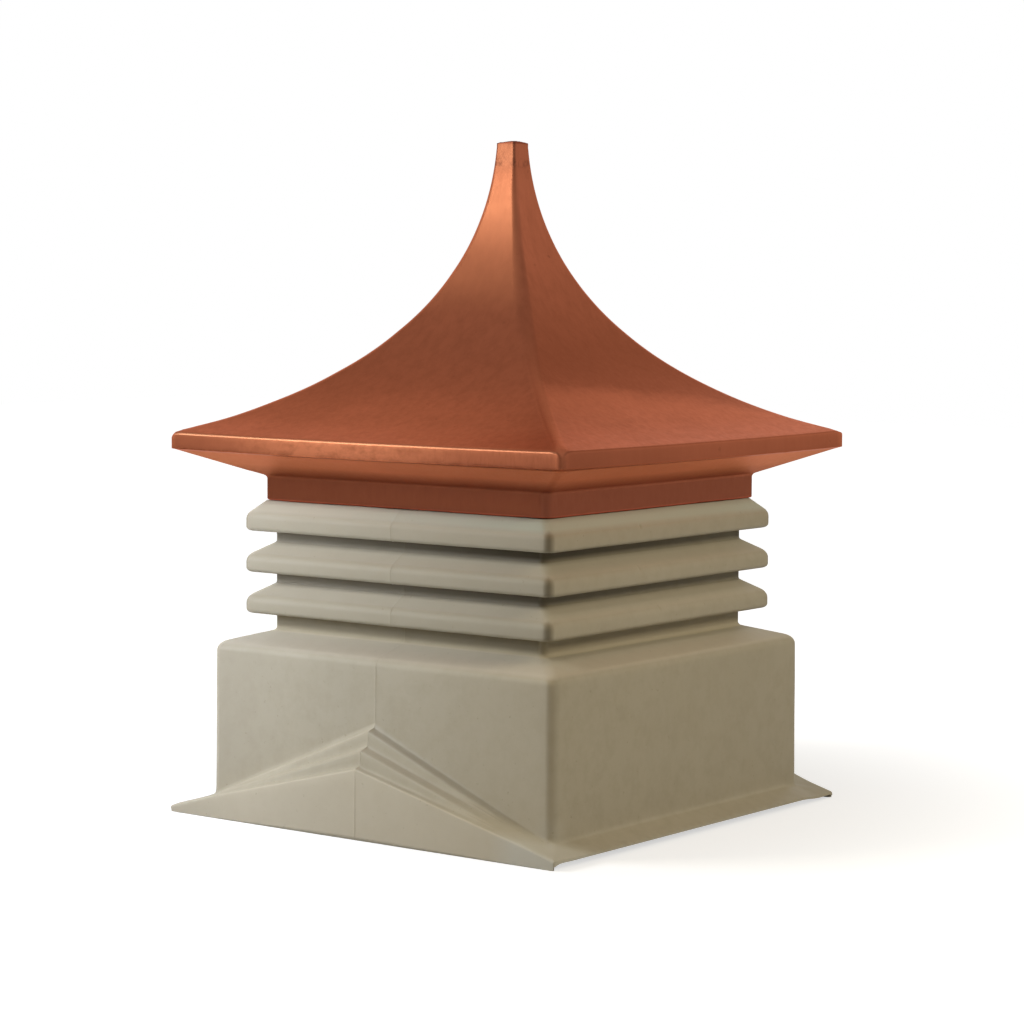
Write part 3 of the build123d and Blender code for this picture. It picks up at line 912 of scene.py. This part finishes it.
def beige_front_light_and_shade(n):
    """Front side with painted light and shade: warmer painted shade toward the near corner, its
    panel painted pale, its left end greyer and its faces above the shoulder darker with painted
    shade, and its low near tip painted light.
    """
    front = n.on_front()
    n.paint(rgb(186, 170, 139), front, n.nearness(*mm(200, 450), 0.0, 0.35))
    n.paint(rgb(208, 196, 172), front, n.outside(PANEL_REACH - 4 * MM, PANEL_REACH - 2 * MM, 0.4))
    n.paint(rgb(154, 145, 126), front, n.nearness(*mm(0, 120), 0.55, 0.0))
    n.paint(rgb(158, 149, 128), front, n.above(SHOULDER_TOP, SHOULDER_TOP + 8 * MM, 0.8))
    n.paint(rgb(196, 192, 178), n.nearness(*mm(465, 500), 0.0, 0.6), n.below(*TIP_TOP))


def beige_ledges_light(n):
    """Painted light on the cut lines' ledges that fall away to the right, palest along the wall.
    """
    slope = n.times(n.facing("X", 0.04, 0.2, 0.0, 1.0), n.facing("Z", 0.1, 0.4, 0.0, 1.0))
    ahead = n.outside(BOX_HALF - 1 * MM, BOX_HALF + 1 * MM, 0.8)
    at_wall = n.remap(n.reach(), BOX_HALF + 6 * MM, BOX_HALF + 14 * MM, 1.0, 0.58)
    fade = n.nearness(*mm(240, 450), 1.0, 0.0)
    forward = n.facing("Y", -0.2, -0.05, 1.0, 0.0)
    n.paint(rgb(200, 194, 178), slope, ahead, at_wall, fade, forward)


def beige_under_cap(n):
    """Painted light on the upper louvre's slope, lifting the cap's shade, greener there."""
    near = n.nearness(*mm(100, 400), 0.0, 1.0)
    front = n.mix(near, rgb(182, 176, 156), rgb(172, 180, 163))
    shade = n.mix(n.on_right(), front, rgb(188, 196, 182))
    n.paint(shade, n.above(LOUVRE_TOPS[2] - 16 * MM, LOUVRE_TOPS[2] - 10 * MM, 0.9))


def beige_painted_shade(n):
    """Painted shade under the louvres' lips and on the near corner. Returns its share."""
    pitch = LOUVRE_BASES[1] - LOUVRE_BASES[0]
    phase = n.math("SUBTRACT", n.part("Z"), LOUVRE_BASES[0] - 5 * pitch)
    phase = n.math("MODULO", phase, pitch)
    under_lips = n.times(
        n.remap(phase, pitch - 17 * MM, pitch - 8 * MM, 0.0, 0.95),
        n.nearness(*mm(0, 400), 0.46, 1.0),
        n.remap(n.part("Z"), SHOULDER_TOP, LOUVRE_TOPS[1], 0.5, 1.0),
        n.remap(n.on_right(), 0.0, 1.0, 1.0, 0.82),
    )
    base = LOUVRE_BASES[0]
    under_lowest = n.times(
        n.above(base - 24 * MM, base - 13 * MM, 0.48),
        n.below(base, base + 1 * MM),
        n.nearness(*mm(0, 400), 0.45, 1.0),
    )
    painted_shade = n.math("MAXIMUM", under_lips, under_lowest)
    painted_shade = n.times(painted_shade, n.inside(THROAT_HALF + 5 * MM, THROAT_HALF + 15 * MM))
    diagonal = n.reach("MINIMUM")
    corner = n.remap(diagonal, LOUVRE_HALF - 10 * MM, LOUVRE_HALF - 3.5 * MM, 0.0, 0.48)
    painted_shade = n.math("MAXIMUM", painted_shade, corner)
    painted_shade = n.times(painted_shade, n.above(SHOULDER_TOP - 5 * MM, SHOULDER_TOP + 3 * MM))
    # lay on the painted shade
    n.paint(rgb(62, 54, 37), painted_shade)
    return painted_shade


def beige_low_band(n):
    """Painted light in the lowest recess, most of all on the right."""
    right = n.on_right()
    band = n.inside(THROAT_HALF + 2 * MM, THROAT_HALF + 5 * MM, 0.45)
    low = n.below(LOUVRE_BASES[0] - 2 * MM, LOUVRE_BASES[0])
    recess_light = n.mix(right, rgb(204, 184, 136), rgb(206, 194, 166))
    n.paint(recess_light, band, low, n.remap(right, 0.0, 1.0, 0.3, 1.0))


def beige_plastic():
    material, n = new_material("beige_plastic")
    beige_ground(n)
    beige_front_light_and_shade(n)
    beige_ledges_light(n)
    beige_under_cap(n)
    n.paint(rgb(130, 118, 94), n.remap(n.noise(210.0, 2.0, 0.5), 0.7, 0.8, 0.0, 0.4))
    # painted shade under the louvres' lips, which also roughens them
    painted_shade = beige_painted_shade(n)
    beige_low_band(n)
    rough = n.remap(n.noise(40.0, 4.0), 0.3, 0.7, 0.51, 0.59)
    rough = n.math("MULTIPLY_ADD", painted_shade, 0.35, rough)
    grain = n.bump(n.noise(900.0, 2.0), 0.2 * MM, 0.25)
    orange_peel = n.bump(n.noise(120.0, 3.0), 0.6 * MM, 0.12, grain)
    set_inputs(n, Base_Color=n.colour, Roughness=rough, IOR=1.47, Normal=orange_peel)
    return material


# -------- copper
def copper_sheet(n):
    """Copper clouded and streaked up and down, with dark stains."""
    n.colour = rgb(172, 98, 69)
    n.paint(rgb(182, 104, 74), n.remap(n.noise(7.0, 3.0), 0.32, 0.68, 0.0, 1.0))
    streaks = n.remap(n.noise(30.0, 5.0, 0.65, (3.0, 3.0, 0.35)), 0.4, 0.72, 0.0, 0.6)
    off_fascia = n.remap(n.reach(), EAVE_HALF - 3 * MM, EAVE_HALF - 1 * MM, 1.0, 0.3)
    n.paint(rgb(158, 89, 62), streaks, off_fascia)
    n.paint(rgb(122, 68, 47), n.remap(n.noise(85.0, 4.0, 0.7), 0.66, 0.76, 0.0, 0.6))


def copper_right_reflection(n):
    """Painted reflection on the right side of the roof: dark above a ragged, slanting line, pale
    below it.
    """
    line = n.math("MULTIPLY_ADD", n.part("Y"), *REFLECTION_LINE)
    ragged = n.noise(34.0, 5.0, 0.6, (0.4, 0.4, 2.0))
    ragged = n.remap(ragged, 0.3, 0.7, -6 * MM, 6 * MM)
    above = n.math("SUBTRACT", n.part("Z"), n.math("ADD", line, ragged))
    dark = n.remap(above, -4 * MM, 12 * MM, 0.0, 0.8)
    pale = n.remap(above, -4 * MM, 10 * MM, 1.0, 0.0)
    right = n.on_right()
    n.paint(rgb(152, 84, 58), dark, n.remap(above, 30 * MM, 100 * MM, 1.0, 0.0), right)
    n.paint(rgb(196, 114, 80), pale, n.remap(above, -36 * MM, -8 * MM, 0.0, 0.45), right)


def copper_roof_light(n):
    """Painted highlights on the hips low down and on the front face below its stub, whose own
    front is darkened with painted shade.
    """
    front = n.on_front()
    off_hip = n.math("SUBTRACT", n.reach(), n.reach("MINIMUM"))
    hip = n.remap(off_hip, 3 * MM, 13 * MM, 0.6, 0.0)
    n.paint(rgb(208, 122, 86), hip, n.below(*HIP_GLEAM_END))
    n.paint(rgb(217, 132, 92), n.above(*ROOF_GLEAM_START, 0.42), n.below(*ROOF_GLEAM_END), front)
    n.paint(rgb(154, 92, 66), front, n.above(*STUB_SHADE_START, 0.65))


def copper_underside(n):
    """Painted light under the eave: the soffit lit at its rim and shaded inward, the collar dark
    with painted shade, and a painted highlight on its foot.
    """
    under = n.below(*UNDERSIDE_TOP)
    lit = n.nearness(*mm(0, 250), 0.0, 1.0)
    n.paint(n.mix(lit, rgb(188, 120, 82), rgb(224, 143, 106)), under)
    collar = n.inside(COLLAR_HALF, COLLAR_HALF + 8 * MM)
    soffit = n.inside(COLLAR_HALF + 3 * MM, COLLAR_HALF + 38 * MM, 0.75)
    dark = n.mix(n.on_right(), rgb(133, 74, 52), rgb(150, 88, 65))
    n.paint(dark, n.math("MAXIMUM", collar, soffit), under)
    n.paint(rgb(196, 104, 80), n.below(COLLAR_BOTTOM + 1.6 * MM, COLLAR_BOTTOM + 3 * MM, 0.7))


def copper_fascia(n):
    """Fascia: painted shade near the corner on the right, worn and hatched in front, with painted
    highlights in its middle and along its top edge.
    """
    face = n.outside(EAVE_HALF - 3 * MM, EAVE_HALF - 1 * MM)
    # painted shade near the right-hand corner
    n.paint(rgb(138, 76, 52), face, n.on_right(), n.nearness(*mm(300, 500), 0.1, 0.5))
    face = n.times(face, n.on_front())
    foot = n.below(FASCIA_BOTTOM + 2.4 * MM, FASCIA_BOTTOM + 3.4 * MM)
    dashes = n.remap(n.noise(60.0, 5.0, 0.7, (1.0, 1.0, 3.0)), 0.42, 0.6, 0.0, 0.45)
    n.paint(rgb(112, 56, 38), dashes, face, foot)
    hatch = n.remap(n.noise(260.0, 3.0, 0.6, (1.0, 1.0, 0.3)), 0.45, 0.75, 0.0, 0.35)
    n.paint(rgb(142, 78, 54), hatch, face, n.nearness(*mm(200, 400), 0.0, 1.0))
    # painted highlight along the middle of the front
    middle = n.times(
        n.nearness(*mm(50, 200), 0.0, 1.0),
        n.nearness(*mm(300, 440), 1.0, 0.0),
        n.remap(n.noise(70.0, 4.0, 0.6, (1.0, 1.0, 1.6)), 0.3, 0.6, 0.3, 0.9),
    )
    n.paint(rgb(222, 134, 96), middle, face)
    # painted highlight along the top edge
    arris = n.above(FASCIA_BOTTOM + 17.2 * MM, FASCIA_BOTTOM + 18 * MM)
    n.paint(rgb(246, 168, 128), face, arris, n.nearness(*mm(300, 500), 0.6, 0.15))


def copper_stub_marks(n):
    """A smudged ring round the stub's foot, and a dark cut rim."""
    smudge = n.remap(n.noise(150.0, 2.0), 0.48, 0.66, 0.0, 0.5)
    n.paint(rgb(98, 56, 42), smudge, n.above(*SMUDGE_START), n.below(*SMUDGE_END))
    n.paint(rgb(124, 62, 46), n.above(STUB_TOP - 4 * MM, STUB_TOP - 2.5 * MM, 0.75))


def copper_finish():
    material, n = new_material("copper_finish")
    copper_sheet(n)
    copper_right_reflection(n)
    # painted reflection on the roof's right side
    copper_roof_light(n)
    # painted light and shade under the eave
    copper_underside(n)
    copper_fascia(n)
    copper_stub_marks(n)
    rough = n.remap(n.noise(160.0, 5.0, 0.65, (1.0, 1.0, 0.4)), 0.3, 0.7, 0.33, 0.42)
    rough = n.math("MULTIPLY_ADD", n.below(*UNDERSIDE_TOP), 0.18, rough)
    grain = n.bump(n.noise(700.0, 3.0), 0.1 * MM, 0.2)
    drawn = n.bump(n.noise(45.0, 4.0, 0.6, (2.2, 2.2, 0.6)), 0.8 * MM, 0.1, grain)
    set_inputs(n, Base_Color=n.colour, Metallic=1.0, Roughness=rough, Normal=drawn)
    set_inputs(n, Specular_Tint=(1.0, 0.62, 0.52, 1.0))
    return material


def finish_piece(piece, material, nodes):
    piece.data.materials.append(material)
    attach(piece, "root")
    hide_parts(*nodes)


# -------- studio
def world_light():
    """White behind the object for the camera, a dim room for everything else."""
    world = bpy.data.worlds.new("studio")
    bpy.context.scene.world = world
    world.use_nodes = True
    n = Nodes(world.node_tree, "Generated")
    ray = n.tree.nodes.new("ShaderNodeLightPath").outputs

    # reflections see walls, brightest at the left and dark beside the camera, and a ceiling
    wall = n.soft(n.along(BRIGHT_WALL), -0.7, 0.7, WALL_FAR, WALL_NEAR)
    rise = n.soft(n.part("Z"), *CEILING_EDGE, 0, 1)
    beside_camera = n.soft(n.along(DARK_WALL), 0.6, 0.95, 1.0, CAMERA_SIDE)
    room = n.times(n.mix(rise, wall, CEILING, "FLOAT"), beside_camera)
    reflected = n.math("MAXIMUM", ray["Is Glossy Ray"], ray["Is Transmission Ray"])
    light = n.mix(reflected, WORLD_AMBIENT, room, "FLOAT")

    background = n.tree.nodes["Background"]
    n.feed(background.inputs["Strength"], n.mix(ray["Is Camera Ray"], light, 1.0, "FLOAT"))
    tint = n.mix(ray["Is Diffuse Ray"], (1, 1, 1, 1), (*WARM, 1))
    n.feed(background.inputs["Color"], tint)


def direction(azimuth, rise):
    """Unit vector to a place round from the front, right being positive, and up."""
    flat = math.cos(rise)
    return Vector((math.sin(azimuth) * flat, -math.cos(azimuth) * flat, math.sin(rise)))


def softboxes():
    target = Vector((0, 0, LAMP_AIM))
    for name, azimuth, rise, distance, size, watts, tint, kind in SOFTBOXES:
        light = bpy.data.lights.new(name, "AREA")
        light.shape = "SQUARE"
        light.size = size
        light.energy = watts
        light.color = tint
        lamp = new_object(name, light)
        away = direction(math.radians(azimuth), math.radians(rise))
        lamp.location = target + away * distance
        lamp.rotation_euler = (-away).to_track_quat("-Z", "Y").to_euler()
        lamp.visible_camera = False
        lamp.visible_glossy = kind != "matt"
        lamp.visible_diffuse = kind != "shine"


def pale_floor():
    """A floor that the camera sees as white with a soft shadow, and the copper as duller."""
    mesh = bpy.data.meshes.new("floor")
    low, high = -FLOOR_REACH, FLOOR_REACH
    corners = [(low, low, 0), (high, low, 0), (high, high, 0), (low, high, 0)]
    mesh.from_pydata(corners, [], [(0, 1, 2, 3)])
    floor = new_object("floor", mesh)

    material, n = new_material("floor_white")
    ray = n.tree.nodes.new("ShaderNodeLightPath").outputs
    distance = n.node("VectorMath", {0: n.coordinates}, "Value", operation="LENGTH")
    glow = n.soft(distance, 0.25, 1.0, 0.6, 1.0)
    far = n.soft(distance, 1.0, 2.0, FLOOR_SHINE, FLOOR_SHINE_FAR)
    behind = n.soft(n.along(FLOOR_REAR), -0.5, 0.5, FLOOR_SHINE_FRONT, 1.0)
    mirrored = n.times(far, behind)
    shine = n.math("MULTIPLY_ADD", ray["Is Glossy Ray"], mirrored, ray["Is Camera Ray"])
    set_inputs(n, Base_Color=(0.5, 0.5, 0.5, 1), Roughness=0.9, Emission_Color=(1, 1, 1, 1))
    set_inputs(n, Emission_Strength=n.times(glow, shine))
    mesh.materials.append(material)


def camera():
    """Seen from the front right, a little above the middle, through a long lens."""
    turn = CAMERA_AZIMUTH + CAMERA_YAW
    forward = -direction(turn, CAMERA_PITCH)
    right = Vector((math.cos(turn), math.sin(turn), 0))
    up = right.cross(forward)
    rolled_right = right * math.cos(CAMERA_ROLL) - up * math.sin(CAMERA_ROLL)
    rolled_up = right * math.sin(CAMERA_ROLL) + up * math.cos(CAMERA_ROLL)
    data = bpy.data.cameras.new("camera")
    data.lens, data.sensor_width = LENS, SENSOR
    seen = new_object("camera", data)
    axes = Matrix((rolled_right, rolled_up, -forward)).transposed()
    place = direction(CAMERA_AZIMUTH, 0) * CAMERA_DISTANCE + Vector((0, 0, CAMERA_HEIGHT))
    seen.matrix_world = Matrix.Translation(place) @ axes.to_4x4()
    bpy.context.scene.camera = seen


# -------- scene
CAP_PARTS = ("collar", "soffit", "fascia", "roof_panel")
CAP_NODES = [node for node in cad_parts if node.split("_", 1)[1] in CAP_PARTS]
CAP_NODES.append("vane_stub")
BASE_NODES = [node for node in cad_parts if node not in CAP_NODES]

finish_piece(build_base(), beige_plastic(), BASE_NODES)
finish_piece(build_cap(), copper_finish(), CAP_NODES)
world_light()
softboxes()
pale_floor()
camera()
bpy.context.scene.view_settings.view_transform = "Standard"
